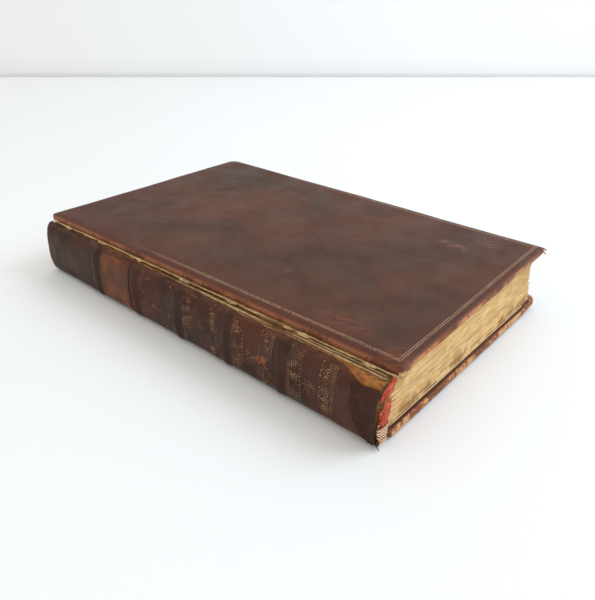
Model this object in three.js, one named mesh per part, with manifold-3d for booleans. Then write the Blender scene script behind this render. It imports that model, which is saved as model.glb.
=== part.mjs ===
// A small leather-bound prayer book, closed and lying on its back cover.
// It is built as a bookbinder builds one: folded sections sewn on five raised cords, the cord ends laced
// into two boards, the spine lined, silk bands at head and tail, and the whole covered in leather.
// Millimetres. +X from the spine to the fore-edge, +Y from the tail to the head, +Z from the back cover up.
// The origin is the centre of the back cover's outer face.
import * as THREE from "three";
import Module from "manifold-3d";

const wasm = await Module();
wasm.setup();
const { Manifold, CrossSection } = wasm;

// ---- Driving dimensions -------------------------------------------------------------------------------
const HEIGHT = 200; // tail to head, over the covers
const WIDTH = 127.5; // spine edge to fore-edge, over one cover
const SKEW = THREE.MathUtils.degToRad(1.15); // the broken front joint lets the front cover turn this much
const FRONT_SHIFT = { x: -2.8, y: -0.8 }; // and lets its head end slide this far

const LEATHER = 0.9; // cover leather on the faces and edges of the boards
const TURN_IN = 0.45; // leather pared thin where it is turned in over the boards
const TURN_IN_WIDTH = 12;
const BOARD = 2.35; // pasteboard
const PAPER = 0.15; // one leaf of rag paper
const GAP = 0.05; // running gap between pieces that lie on each other
const LEAF_GAP = 0.1; // air between loose leaves
const CORNER_RADIUS = 3;
const PASTEDOWN_MARGIN = 4;

const COVER = LEATHER + GAP + BOARD + GAP + TURN_IN + GAP + PAPER; // one cover, finished
const SQUARE = 2; // covers past the leaves at head and tail
const TEXT_LENGTH = HEIGHT - 2 * SQUARE;
const SPINE_X = -WIDTH / 2; // spine edge of the back cover

const SECTION_COUNT = 18;
const SECTION = 1.09; // one pressed gathering of eight leaves
const TEXT_BOTTOM = COVER + LEAF_GAP + PAPER + LEAF_GAP;
const CENTRE_GAP = 2 * PAPER + 3 * GAP; // room for the two turning leaves at the middle
const TEXT_HEIGHT = SECTION_COUNT * SECTION + (SECTION_COUNT - 2) * GAP + CENTRE_GAP;
const TEXT_TOP = TEXT_BOTTOM + TEXT_HEIGHT;
const FLYLEAF_Z = TEXT_TOP + LEAF_GAP;
const ENDPAPER_Z = FLYLEAF_Z + PAPER + LEAF_GAP;
const FRONT_COVER_Z = ENDPAPER_Z + PAPER + LEAF_GAP; // inner face of the front cover

const FOLD_DEPTH = 1; // rounding of each section's fold
const FORE_EDGE = { x: SPINE_X + 122.5, lean: 7.5, hollow: 0.8 }; // the leaves lean to the spine at the top

// The back of the book is a flattened round: one superellipse in the X-Z plane for each layer. A layer
// bulges by depth, and closes at up above and down below the middle.
const BACK = { x: SPINE_X - 2.5, z: FRONT_COVER_Z / 2, power: 3 };
const FOLDS = { depth: 4.2, up: BACK.z - 0.5, down: BACK.z - 0.5 };
const LINING_INNER = { ...FOLDS, depth: 4.35 };
const LINING_OUTER = { ...FOLDS, depth: 4.75 };
const LEATHER_INNER = { depth: 5, up: BACK.z - 0.45, down: BACK.z - 0.2 - LEATHER };
const LEATHER_OUTER = { depth: 6.2, up: BACK.z - 0.2, down: BACK.z - 0.2 };
const BACK_JOINT_X = SPINE_X - 0.3; // the spine leather runs on, under the joint, to the back cover
const BAND_PITCH = 28.3;
const BAND_COUNT = 5;
const BAND_HALF_WIDTH = 3.2;
const BAND_RISE = 0.9;
const CORD_RADIUS = 1.5;
const CORD_RISE = 1.35;
const LABEL = 0.35;

const SLIP = { length: 21, root: 3, tip: 6, thickness: 0.45 };
const ENDBAND = { core: 0.5, silk: 0.85, inset: 0.95 };

// ---- Materials ----------------------------------------------------------------------------------------
const material = (colour, roughness) =>
  new THREE.MeshStandardMaterial({ color: colour, roughness, metalness: 0 });

const CALF = [0x4a2a1a, 0.55];
const CALF_WORN = [0x55301d, 0.6];
const LABEL_LEATHER = [0x9a5a2c, 0.6];
const PASTEBOARD = [0xa98a62, 0.9];
const RAG_PAPER = [0xd9c294, 0.9];
const LEAF_PAPER = [0xdcc9a0, 0.9];
const HEMP = [0xb59a6a, 0.9];
const SILK_RED = [0x9c2f25, 0.7];

const book = new THREE.Group();
book.name = "prayer_book";

function addNode(parent, name, geometry, [colour, roughness]) {
  const mesh = new THREE.Mesh(geometry, material(colour, roughness));
  mesh.name = name;
  parent.add(mesh);
  return mesh;
}

// ---- Geometry helpers ---------------------------------------------------------------------------------
function geometryOf(solid) {
  const { vertProperties, numProp, triVerts } = solid.getMesh();
  const points = new Float32Array((vertProperties.length / numProp) * 3);
  for (let i = 0; i < points.length / 3; i++) {
    points.set(vertProperties.subarray(i * numProp, i * numProp + 3), i * 3);
  }
  const geometry = new THREE.BufferGeometry();
  geometry.setAttribute("position", new THREE.BufferAttribute(points, 3));
  geometry.setIndex(new THREE.BufferAttribute(triVerts, 1));
  return geometry;
}

// A prism between two heights on a plan outline of [x, y] points.
const prism = (outline, bottom, top) =>
  new CrossSection([outline]).extrude(top - bottom).translate([0, 0, bottom]);

const box = (x0, x1, y0, y1, z0, z1) =>
  Manifold.cube([x1 - x0, y1 - y0, z1 - z0]).translate([x0, y0, z0]);

// A closed skin over rings of points, all with the same count, from the first ring to the last.
function loft(stack) {
  const clockwise = THREE.ShapeUtils.area(flatten(stack[0])) < 0;
  const rings = clockwise ? stack.map((ring) => [...ring].reverse()) : stack;
  const count = rings[0].length;
  const triangles = [];
  for (let r = 0; r + 1 < rings.length; r++) {
    for (let i = 0; i < count; i++) {
      const j = (i + 1) % count;
      const near = r * count;
      const far = near + count;
      triangles.push([near + i, near + j, far + j], [near + i, far + j, far + i]);
    }
  }
  for (const [ring, flip] of [[0, true], [rings.length - 1, false]]) {
    const flat = flatten(rings[ring]);
    for (const [a, b, c] of THREE.ShapeUtils.triangulateShape(flat, [])) {
      const [p, q, s] = [a, b, c].map((k) => ring * count + k);
      triangles.push(flip ? [p, s, q] : [p, q, s]);
    }
  }
  const mesh = new wasm.Mesh({
    numProp: 3,
    vertProperties: new Float32Array(rings.flat(2)),
    triVerts: new Uint32Array(triangles.flat()),
  });
  return new Manifold(mesh);
}

// A ring seen from the end its stack rises to: a stack runs along Y when its rings lie square to Y, else Z.
function flatten(ring) {
  const alongY = ring.every((p) => Math.abs(p[1] - ring[0][1]) < 1e-6);
  return ring.map(([x, y, z]) => (alongY ? new THREE.Vector2(z, x) : new THREE.Vector2(x, y)));
}

const steps = (from, to, count) =>
  Array.from({ length: count + 1 }, (_, i) => from + ((to - from) * i) / count);

// ---- Shape of the rounded back ------------------------------------------------------------------------
// x of the leaves' folds at one height.
function foldX(z) {
  const rise = Math.min(1, Math.abs(z - BACK.z) / FOLDS.up);
  return BACK.x - FOLDS.depth * (1 - rise ** BACK.power) ** (1 / BACK.power);
}

// Points [x, z] down a layer of the back, from one angle above the middle to another below it.
function backCurve(layer, [above, below], count) {
  return steps(above, -below, count).map((degrees) => {
    const angle = THREE.MathUtils.degToRad(degrees);
    const rise = Math.abs(Math.sin(angle)) ** (2 / BACK.power);
    const z = angle > 0 ? BACK.z + layer.up * rise : BACK.z - layer.down * rise;
    return [BACK.x - layer.depth * Math.cos(angle) ** (2 / BACK.power), z];
  });
}

// A curved shell on the back, between layersAt(y) = [inner, outer] at each station along the spine.
// ends holds any points [x, z] that carry its lower edge on, from the outer layer round to the inner.
function backShell(stations, layersAt, reach, count, ends = []) {
  const rings = stations.map((y) => {
    const [inner, outer] = layersAt(y).map((layer) => backCurve(layer, reach, count));
    return [...outer, ...ends, ...inner.reverse()].map(([x, z]) => [x, y, z]);
  });
  return loft(rings);
}

// A layer that stands out further by an amount.
const raised = (layer, amount) => ({ ...layer, depth: layer.depth + amount });

const bandY = Array.from({ length: BAND_COUNT }, (_, i) => BAND_PITCH * ((BAND_COUNT - 1) / 2 - i));

// How far the leather stands out over the nearest cord.
function bandRise(y) {
  const distance = Math.min(...bandY.map((band) => Math.abs(y - band)));
  if (distance >= BAND_HALF_WIDTH) return 0;
  return (BAND_RISE / 2) * (1 + Math.cos((Math.PI * distance) / BAND_HALF_WIDTH));
}

// ---- Covers -------------------------------------------------------------------------------------------
// A cover is built lying on its outer face, spine edge at x = 0 and its middle at y = 0.
const FAR = 5; // past the spine edge, for a cut that is open there

// A cover's outline set in by a margin at head, tail and fore-edge, and reaching x = spineX at the spine.
function coverOutline(margin, spineX, radius) {
  const right = WIDTH - margin;
  const half = HEIGHT / 2 - margin;
  const corner = (cy, from) =>
    steps(from, from + 90, 6).map((degrees) => {
      const angle = THREE.MathUtils.degToRad(degrees);
      return [right - radius + radius * Math.cos(angle), cy + radius * Math.sin(angle)];
    });
  return [
    [spineX, -half],
    ...corner(radius - half, -90),
    ...corner(half - radius, 0),
    [spineX, half],
  ];
}

// The plan of one laced-in cord end, frayed out wider to its tip.
const slipOutline = (y, grow) => [
  [-grow, y - SLIP.root / 2 - grow],
  [SLIP.length + grow, y - SLIP.tip / 2 - grow],
  [SLIP.length + grow, y + SLIP.tip / 2 + grow],
  [-grow, y + SLIP.root / 2 + grow],
];

function buildCover(side) {
  const cover = new THREE.Group();
  const boardBottom = LEATHER + GAP;
  const boardTop = boardBottom + BOARD;
  const turnInTop = boardTop + GAP + TURN_IN;
  const slipBottom = turnInTop - GAP - SLIP.thickness;

  const leather = prism(coverOutline(0, 0, CORNER_RADIUS), 0, turnInTop)
    .subtract(prism(coverOutline(LEATHER, -FAR, CORNER_RADIUS - LEATHER), LEATHER, boardTop + GAP))
    .subtract(prism(coverOutline(TURN_IN_WIDTH, -FAR, 1), boardTop, turnInTop + FAR));
  addNode(cover, `${side}_cover_leather`, geometryOf(leather), CALF);

  let board = prism(coverOutline(boardBottom, GAP, CORNER_RADIUS - LEATHER), boardBottom, boardTop)
    .add(prism(coverOutline(TURN_IN_WIDTH + GAP, GAP, 1), boardTop - GAP, turnInTop - GAP));
  bandY.forEach((y) => {
    board = board.subtract(prism(slipOutline(y, GAP), slipBottom - GAP, turnInTop));
  });
  addNode(cover, `${side}_board`, geometryOf(board), PASTEBOARD);

  bandY.forEach((y, i) => {
    const slip = prism(slipOutline(y, 0), slipBottom, turnInTop - GAP).trimByPlane([1, 0, 0], 2 * GAP);
    addNode(cover, `${side}_cord_slip_${i + 1}`, geometryOf(slip), HEMP);
  });

  const pastedown = prism(coverOutline(PASTEDOWN_MARGIN, 0.5, 0.5), turnInTop + GAP, COVER);
  addNode(cover, `${side}_pastedown`, geometryOf(pastedown), RAG_PAPER);
  return cover;
}

const backCover = buildCover("back");
backCover.position.x = SPINE_X;
book.add(backCover);

// The front cover lies outer face up. Its head corner at the spine has slid, and it is turned about that.
const frontCover = buildCover("front");
frontCover.rotation.x = Math.PI;
frontCover.position.y = -HEIGHT / 2;
const frontPlace = new THREE.Group();
frontPlace.add(frontCover);
frontPlace.position.set(
  SPINE_X + FRONT_SHIFT.x,
  HEIGHT / 2 + FRONT_SHIFT.y,
  FRONT_COVER_Z + COVER,
);
frontPlace.rotation.z = SKEW;
book.add(frontPlace);

// ---- Leaves -------------------------------------------------------------------------------------------
// x of the leaves' fore-edge at one height: leaning to the spine, and slightly hollow.
function foreEdgeX(z) {
  const t = (z - TEXT_BOTTOM) / TEXT_HEIGHT;
  return FORE_EDGE.x - FORE_EDGE.lean * t - FORE_EDGE.hollow * 4 * t * (1 - t);
}

// A slab in the X-Z plane, extruded from tail to head.
function slab(outline) {
  const solid = new CrossSection([outline]).extrude(TEXT_LENGTH).translate([0, 0, -TEXT_LENGTH / 2]);
  return geometryOf(solid.rotate([90, 0, 0]));
}

function sectionOutline(bottom, top) {
  const middle = (bottom + top) / 2;
  const fold = foldX(middle);
  const halfHeight = (top - bottom) / 2;
  const round = steps(90, 270, 8).map((degrees) => {
    const angle = THREE.MathUtils.degToRad(degrees);
    return [fold + FOLD_DEPTH * (1 + Math.cos(angle)), middle + halfHeight * Math.sin(angle)];
  });
  return [[foreEdgeX(bottom), bottom], [foreEdgeX(top), top], ...round];
}

function leafOutline(bottom, spineX, foreX) {
  return [
    [spineX, bottom],
    [foreX, bottom],
    [foreX, bottom + PAPER],
    [spineX, bottom + PAPER],
  ];
}

// Sections are numbered from the front of the book, so the stack is laid from the last one up.
let sectionZ = TEXT_BOTTOM;
for (let number = SECTION_COUNT; number >= 1; number--) {
  const outline = sectionOutline(sectionZ, sectionZ + SECTION);
  addNode(book, `section_${String(number).padStart(2, "0")}`, slab(outline), LEAF_PAPER);
  sectionZ += SECTION;
  if (number === SECTION_COUNT / 2 + 1) {
    for (const leaf of [2, 1]) {
      sectionZ += GAP;
      const spineX = foldX(sectionZ) + FOLD_DEPTH;
      const leafShape = leafOutline(sectionZ, spineX, foreEdgeX(sectionZ));
      addNode(book, `centre_leaf_${leaf}`, slab(leafShape), LEAF_PAPER);
      sectionZ += PAPER;
    }
  }
  sectionZ += GAP;
}

const LEAF_HINGE_X = SPINE_X + 0.7;
const looseLeaf = (bottom, nearZ) => slab(leafOutline(bottom, LEAF_HINGE_X, foreEdgeX(nearZ)));
addNode(book, "back_free_endpaper", looseLeaf(COVER + LEAF_GAP, TEXT_BOTTOM), RAG_PAPER);
addNode(book, "front_flyleaf", looseLeaf(FLYLEAF_Z, TEXT_TOP), LEAF_PAPER);
addNode(book, "front_free_endpaper", looseLeaf(ENDPAPER_Z, TEXT_TOP), RAG_PAPER);

// ---- Spine --------------------------------------------------------------------------------------------
bandY.forEach((band, i) => {
  const stations = steps(-CORD_RADIUS, CORD_RADIUS, 6).map((d) => band + d);
  const layersAt = (y) => {
    const across = (y - band) / CORD_RADIUS;
    const rise = 0.2 + (CORD_RISE - 0.2) * Math.sqrt(1 - across ** 2);
    return [LINING_INNER, raised(LINING_INNER, rise)];
  };
  addNode(book, `sewing_cord_${i + 1}`, geometryOf(backShell(stations, layersAt, [58, 30], 14)), HEMP);
});

// One lining patch in each compartment between the cords.
const textHalf = TEXT_LENGTH / 2;
const LINING_INSET = 0.3;
const edges = [textHalf, ...bandY.flatMap((y) => [y + BAND_HALF_WIDTH, y - BAND_HALF_WIDTH]), -textHalf];
for (let i = 0; i < edges.length; i += 2) {
  const stations = [edges[i + 1] + LINING_INSET, edges[i] - LINING_INSET];
  const patch = backShell(stations, () => [LINING_INNER, LINING_OUTER], [52, 28], 14);
  addNode(book, `spine_lining_${i / 2 + 1}`, geometryOf(patch), RAG_PAPER);
}

const headEnd = HEIGHT / 2 - 0.5;
const bandStations = bandY.toReversed().flatMap((band) =>
  steps(-BAND_HALF_WIDTH, BAND_HALF_WIDTH, 8).map((d) => band + d),
);
const leatherLayers = (y) => [raised(LEATHER_INNER, bandRise(y)), raised(LEATHER_OUTER, bandRise(y))];
const jointEdge = [
  [BACK_JOINT_X, BACK.z - LEATHER_OUTER.down],
  [BACK_JOINT_X, BACK.z - LEATHER_INNER.down],
];
const wholeLeather = backShell([-headEnd, ...bandStations, headEnd], leatherLayers, [88, 88], 24, jointEdge);

// Leather has torn away from the tail end of the shoulder by the front joint.
const TEAR = { length: 28, cap: 6, drop: 2.6 };
const tailY = -HEIGHT / 2;
const tear = prism(
  [
    [BACK.x - 10, tailY - 1],
    [SPINE_X, tailY - 1],
    [SPINE_X, tailY + TEAR.length],
    [BACK.x - 1, tailY + TEAR.length],
    [BACK.x - 10, tailY + TEAR.cap],
  ],
  FRONT_COVER_Z - TEAR.drop,
  FRONT_COVER_Z,
);
addNode(book, "spine_leather", geometryOf(wholeLeather.subtract(tear)), CALF_WORN);

// The label fills the second compartment from the head.
const LABEL_MARGIN = BAND_HALF_WIDTH + 0.5;
const labelStations = [bandY[1] + LABEL_MARGIN, bandY[0] - LABEL_MARGIN];
const labelLayers = () => [raised(LEATHER_OUTER, GAP), raised(LEATHER_OUTER, GAP + LABEL)];
addNode(book, "spine_label", geometryOf(backShell(labelStations, labelLayers, [50, 50], 14)), LABEL_LEATHER);

// ---- Silk bands at head and tail ----------------------------------------------------------------------
// A round rod that stands on the end of the leaves and follows the curve of their backs.
function endbandRod(y, radius, bottom, top) {
  const rings = steps(bottom, top, 12).map((z) => {
    const x = foldX(z) + ENDBAND.inset;
    return steps(0, 315, 7).map((degrees) => {
      const angle = THREE.MathUtils.degToRad(degrees);
      return [x + radius * Math.cos(angle), y + radius * Math.sin(angle), z];
    });
  });
  return loft(rings);
}

const bandBottom = TEXT_BOTTOM + 0.6;
const bandTop = TEXT_TOP - 0.8;
const bandCentre = textHalf + GAP + ENDBAND.silk;
const endbands = [
  { name: "headband", y: bandCentre, silkBottom: bandBottom + 0.6 },
  { name: "tailband", y: -bandCentre, silkBottom: bandBottom + 0.33 * (bandTop - bandBottom) },
];
for (const { name, y, silkBottom } of endbands) {
  const core = endbandRod(y, ENDBAND.core, bandBottom, bandTop);
  const hollow = endbandRod(y, ENDBAND.core + GAP, bandBottom - 1, bandTop + 0.2);
  const silk = endbandRod(y, ENDBAND.silk, silkBottom, bandTop - 0.6).subtract(hollow);
  addNode(book, `${name}_core`, geometryOf(core), HEMP);
  addNode(book, `${name}_silk`, geometryOf(silk), SILK_RED);
}

export default book;
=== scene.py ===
import math

import bmesh
import bpy
import numpy as np
from mathutils import Matrix, Vector


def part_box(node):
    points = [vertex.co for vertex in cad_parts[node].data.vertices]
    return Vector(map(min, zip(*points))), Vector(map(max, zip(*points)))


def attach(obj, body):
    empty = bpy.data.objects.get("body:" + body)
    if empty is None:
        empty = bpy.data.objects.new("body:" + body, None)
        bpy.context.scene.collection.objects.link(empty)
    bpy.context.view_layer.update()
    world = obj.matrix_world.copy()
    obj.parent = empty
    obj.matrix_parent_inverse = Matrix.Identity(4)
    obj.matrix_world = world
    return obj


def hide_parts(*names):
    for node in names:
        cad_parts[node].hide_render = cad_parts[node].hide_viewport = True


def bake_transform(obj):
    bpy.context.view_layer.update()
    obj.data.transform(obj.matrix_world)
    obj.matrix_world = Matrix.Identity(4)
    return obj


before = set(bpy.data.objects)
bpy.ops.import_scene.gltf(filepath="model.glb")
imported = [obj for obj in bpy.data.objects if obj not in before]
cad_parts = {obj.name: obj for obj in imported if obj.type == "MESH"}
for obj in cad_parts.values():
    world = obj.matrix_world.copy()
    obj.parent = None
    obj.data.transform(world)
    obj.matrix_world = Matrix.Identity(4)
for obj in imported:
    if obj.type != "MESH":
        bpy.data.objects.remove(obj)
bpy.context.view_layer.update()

MM = 0.001


def cad_box(node):
    """A CAD node's lowest and highest corners, in millimetres."""
    low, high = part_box(node)
    return np.array(low) / MM, np.array(high) / MM


# ---- Sizes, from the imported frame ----
BACK_LOW, BACK_HIGH = cad_box("back_cover_leather")
SPINE_X = BACK_LOW[0]
WIDTH = BACK_HIGH[0] - BACK_LOW[0]
HEIGHT = BACK_HIGH[1] - BACK_LOW[1]
COVER = 4.0  # thickness of one finished cover
TOP = cad_box("front_cover_leather")[1][2]
FRONT_COVER_Z = TOP - COVER
SKEW = math.radians(1.15)  # the front cover's turn on the book
FRONT_SHIFT = (-2.8, -0.8)  # and how far it has slid, across and along
TEXT_LOW = cad_box("section_18")[0]
TEXT_HIGH = cad_box("section_01")[1]
TEXT_HALF = TEXT_HIGH[1]

# The rounded back: a superellipse for each layer, as the CAD part has it.
BACK_X = SPINE_X - 2.5
BACK_Z = FRONT_COVER_Z / 2
POWER = 3
LEATHER_DEPTH = 6.2
BAND_PITCH = 28.3
BAND_Y = [BAND_PITCH * k for k in (2, 1, 0, -1, -2)]
BAND_HALF_WIDTH = 3.2
BAND_RISE = 0.9


# ---- Small numeric helpers ----
def smoothstep(low, high, value):
    t = np.clip((value - low) / (high - low), 0, 1)
    return t * t * (3 - 2 * t)


def lattice(i, j, k, seed):
    value = np.sin(i * 127.1 + j * 311.7 + k * 74.7 + seed * 19.19) * 43758.5453
    return value - np.floor(value)


def wobble(x, y=0.0, z=0.0, seed=0):
    """Smooth noise from -1 to 1, with features about one unit across."""
    x, y, z = np.broadcast_arrays(*(np.asarray(v, float) for v in (x, y, z)))
    i, j, k = np.floor(x), np.floor(y), np.floor(z)
    u, v, w = (f * f * (3 - 2 * f) for f in (x - i, y - j, z - k))
    total = np.zeros_like(x)
    for a in (0, 1):
        for b in (0, 1):
            for c in (0, 1):
                weight = (u if a else 1 - u) * (v if b else 1 - v) * (w if c else 1 - w)
                total = total + weight * lattice(i + a, j + b, k + c, seed)
    return total * 2 - 1


def rough(x, y=0.0, z=0.0, seed=0, octaves=3):
    """Several octaves of wobble, from about -1 to 1."""
    return sum(wobble(x * 2**n, y * 2**n, z * 2**n, seed + n) / 2**n for n in range(octaves)) / 1.5


def points_of(*coordinates):
    """An array of points from their coordinates, each of them a number or an array."""
    return np.stack(np.broadcast_arrays(*coordinates), axis=-1)


# ---- Mesh helpers ----
def place(name, points, faces, material, uv=None, sharp=40, slot=None):
    """A mesh object from points in millimetres, its faces turned outwards. uv holds one pair a point."""
    mesh = bpy.data.meshes.new(name)
    mesh.from_pydata((np.asarray(points) * MM).tolist(), [], [list(map(int, f)) for f in faces])
    if uv is not None:
        corner = np.zeros(len(mesh.loops), int)
        mesh.loops.foreach_get("vertex_index", corner)
        layer = mesh.uv_layers.new(name="UVMap")
        layer.data.foreach_set("uv", (np.asarray(uv) * MM)[corner].ravel())
    work = bmesh.new()
    work.from_mesh(mesh)
    bmesh.ops.recalc_face_normals(work, faces=work.faces)
    work.to_mesh(mesh)
    work.free()
    mesh.shade_smooth()
    mesh.set_sharp_from_angle(angle=math.radians(sharp))
    mesh.materials.append(material)
    obj = bpy.data.objects.new(name, mesh)
    bpy.context.collection.objects.link(obj)
    return obj


def grid_faces(rows, columns, start=0, wrap=False):
    """Quads over a grid of points stored row by row. wrap joins the last column to the first."""
    faces = []
    for r in range(rows - 1):
        for c in range(columns if wrap else columns - 1):
            near, far = start + r * columns, start + (r + 1) * columns
            d = (c + 1) % columns
            faces.append((near + c, near + d, far + d, far + c))
    return faces


def capped(rings):
    """Points and faces of a closed body through rings of points, flat at its two ends."""
    points = np.concatenate(rings)
    count = len(rings[0])
    faces = grid_faces(len(rings), count, wrap=True)
    return points, faces + [tuple(range(count)), tuple(range(len(points) - count, len(points)))]


def sheet(name, outer, inner, material, slot, uv=None, sharp=50):
    """A closed sheet between two grids of points of the same shape (rows, columns, 3)."""
    rows, columns = outer.shape[:2]
    count = rows * columns
    faces = grid_faces(rows, columns) + grid_faces(rows, columns, count)
    border = (
        [c for c in range(columns)]
        + [r * columns + columns - 1 for r in range(1, rows)]
        + [(rows - 1) * columns + c for c in range(columns - 2, -1, -1)]
        + [r * columns for r in range(rows - 2, 0, -1)]
    )
    for a, b in zip(border, border[1:] + border[:1]):
        faces.append((a, b, b + count, a + count))
    points = np.concatenate([outer.reshape(-1, 3), inner.reshape(-1, 3)])
    both = None if uv is None else np.concatenate([uv.reshape(-1, 2)] * 2)
    return place(name, points, faces, material, both, sharp, slot)


def tube(path, radius, sides=8):
    """A round rod along a path of points, closed at its ends. radius is one number or one a point."""
    path = np.asarray(path, float)
    radius = np.broadcast_to(radius, len(path))
    tangent = np.gradient(path, axis=0)
    tangent /= np.linalg.norm(tangent, axis=1)[:, None]
    side = np.cross(tangent, np.array([0.31, 0.17, 0.93]))
    side /= np.linalg.norm(side, axis=1)[:, None]
    up = np.cross(tangent, side)
    turn = np.linspace(0, 2 * np.pi, sides, endpoint=False)
    ring = np.cos(turn)[None, :, None] * side[:, None] + np.sin(turn)[None, :, None] * up[:, None]
    return capped(path[:, None] + radius[:, None, None] * ring)


def joined(parts):
    """Several (points, faces) as one."""
    points, faces, start = [], [], 0
    for some, quads in parts:
        points.append(some)
        faces += [tuple(i + start for i in f) for f in quads]
        start += len(some)
    return np.concatenate(points), faces


# ---- Materials ----
class Shader:
    """A node material being built. Each method adds a node and returns its output socket."""

    def __init__(self, name):
        self.material = bpy.data.materials.new(name)
        self.material.use_nodes = True
        self.tree = self.material.node_tree
        self.principled = self.tree.nodes["Principled BSDF"]

    def feed(self, socket, value):
        if isinstance(value, bpy.types.NodeSocket):
            self.tree.links.new(value, socket)
        else:
            socket.default_value = value

    def node(self, kind, inputs=(), output=0, **settings):
        node = self.tree.nodes.new(kind)
        for key, value in settings.items():
            setattr(node, key, value)
        for key, value in dict(inputs).items():
            self.feed(node.inputs[key], value)
        return node.outputs[output]

    def math(self, operation, *values, clamp=False):
        return self.node("ShaderNodeMath", enumerate(values), operation=operation, use_clamp=clamp)

    def uv(self):
        return self.node("ShaderNodeUVMap", uv_map="UVMap")

    def object_space(self):
        return self.node("ShaderNodeTexCoord", output="Object")

    def scaled(self, vector, scale):
        inputs = {0: vector, 1: scale}
        return self.node("ShaderNodeVectorMath", inputs, operation="MULTIPLY")

    def split(self, vector):
        node = self.tree.nodes.new("ShaderNodeSeparateXYZ")
        self.feed(node.inputs[0], vector)
        return node.outputs

    def noise(self, vector, per_metre, detail=3.0, roughness=0.55, distortion=0.0):
        inputs = {"Vector": vector, "Scale": per_metre, "Detail": detail}
        inputs.update({"Roughness": roughness, "Distortion": distortion})
        return self.node("ShaderNodeTexNoise", inputs)

    def cells(self, vector, per_metre, randomness=1.0, feature="F1"):
        inputs = {"Vector": vector, "Scale": per_metre, "Randomness": randomness}
        return self.node("ShaderNodeTexVoronoi", inputs, feature=feature)

    def fade(self, value, low, high, start=0.0, end=1.0):
        """value from low to high, smoothly turned into start to end."""
        inputs = {"Value": value, "From Min": low, "From Max": high, "To Min": start, "To Max": end}
        return self.node("ShaderNodeMapRange", inputs, interpolation_type="SMOOTHSTEP")

    def mix(self, share, first, second):
        inputs = {0: share, 6: colour(first), 7: colour(second)}
        return self.node("ShaderNodeMix", inputs, output=2, data_type="RGBA", clamp_factor=True)

    def apart(self, first, second):
        return self.math("ABSOLUTE", self.math("SUBTRACT", first, second))

    def product(self, first, *others):
        for other in others:
            first = self.math("MULTIPLY", first, other)
        return first

    def average(self, first, second, share):
        """share of the first value, and the rest of the second."""
        return self.math("ADD", self.product(first, share), self.product(second, 1 - share))

    def over(self, base, tint, *shares):
        """The base with a tint laid over it, by the product of the shares."""
        return self.mix(self.product(*shares), base, tint)

    def bump(self, height, distance, strength=1.0, normal=None):
        inputs = {"Height": height, "Distance": distance * MM, "Strength": strength}
        if normal is not None:
            inputs["Normal"] = normal
        return self.node("ShaderNodeBump", inputs)

    def finish(self, base, roughness, normal=None, specular=0.2, metallic=0.0, sheen=0.0):
        sockets = self.principled.inputs
        self.feed(sockets["Base Color"], base)
        self.feed(sockets["Roughness"], roughness)
        if normal is not None:
            self.feed(sockets["Normal"], normal)
        sockets["Specular IOR Level"].default_value = specular
        sockets["Metallic"].default_value = metallic
        sockets["Sheen Weight"].default_value = sheen
        return self.material


def colour(value):
    """A socket as it is, or an sRGB triple of 0 to 255 as a linear colour."""
    if isinstance(value, bpy.types.NodeSocket):
        return value
    channels = [c / 255 for c in value]
    linear = [c / 12.92 if c <= 0.04045 else ((c + 0.055) / 1.055) ** 2.4 for c in channels]
    return (*linear, 1.0)


def edge_distance(s, uv):
    """How far a point of a cover is in from its nearest edge, in metres; below 0 round the edge."""
    x, y, _ = s.split(uv)
    across = s.math("MINIMUM", x, s.math("SUBTRACT", WIDTH * MM, x))
    along = s.math("MINIMUM", y, s.math("SUBTRACT", HEIGHT * MM, y))
    return s.math("MINIMUM", across, along)


def line(s, distance, at, half_width):
    """1 on a line at one distance (mm), 0 beside it."""
    return s.fade(s.apart(distance, at * MM), half_width * 1.6 * MM, half_width * 0.6 * MM)


def spot(s, uv, centre, radii):
    """A soft patch, 1 in the middle: centre and radii in millimetres on the cover's plan."""
    inputs = {0: uv, 1: (*(c * MM for c in centre), 0)}
    moved = s.node("ShaderNodeVectorMath", inputs, operation="SUBTRACT")
    shape = s.scaled(moved, (*(1 / (r * MM) for r in radii), 0))
    length = s.node("ShaderNodeVectorMath", {0: shape}, output="Value", operation="LENGTH")
    return s.fade(length, 1.0, 0.2)


def calf(s, uv, dark, warm):
    """Sprinkled calf: its colour, and the bump of its grain."""
    cloud = s.noise(uv, 22, 4, 0.6, 0.6)
    base = s.mix(s.fade(cloud, 0.36, 0.64), dark, warm)
    mottle = s.fade(s.noise(uv, 260, 4, 0.65, 0.4), 0.5, 0.72)
    base = s.over(base, (44, 28, 22), mottle, 0.35)
    pale = s.fade(s.noise(s.scaled(uv, (1, 1.7, 1)), 420, 3, 0.7), 0.6, 0.78)
    base = s.over(base, (142, 98, 74), pale, 0.14)
    grain = s.noise(uv, 2600, 3, 0.6)
    creases = s.noise(s.scaled(uv, (1, 2.4, 1)), 700, 4, 0.65, 0.8)
    return base, s.average(grain, creases, 0.35)


SCUFF_TURN = math.radians(-26)  # the covers' scuffs run lengthwise, slanting by this


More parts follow.
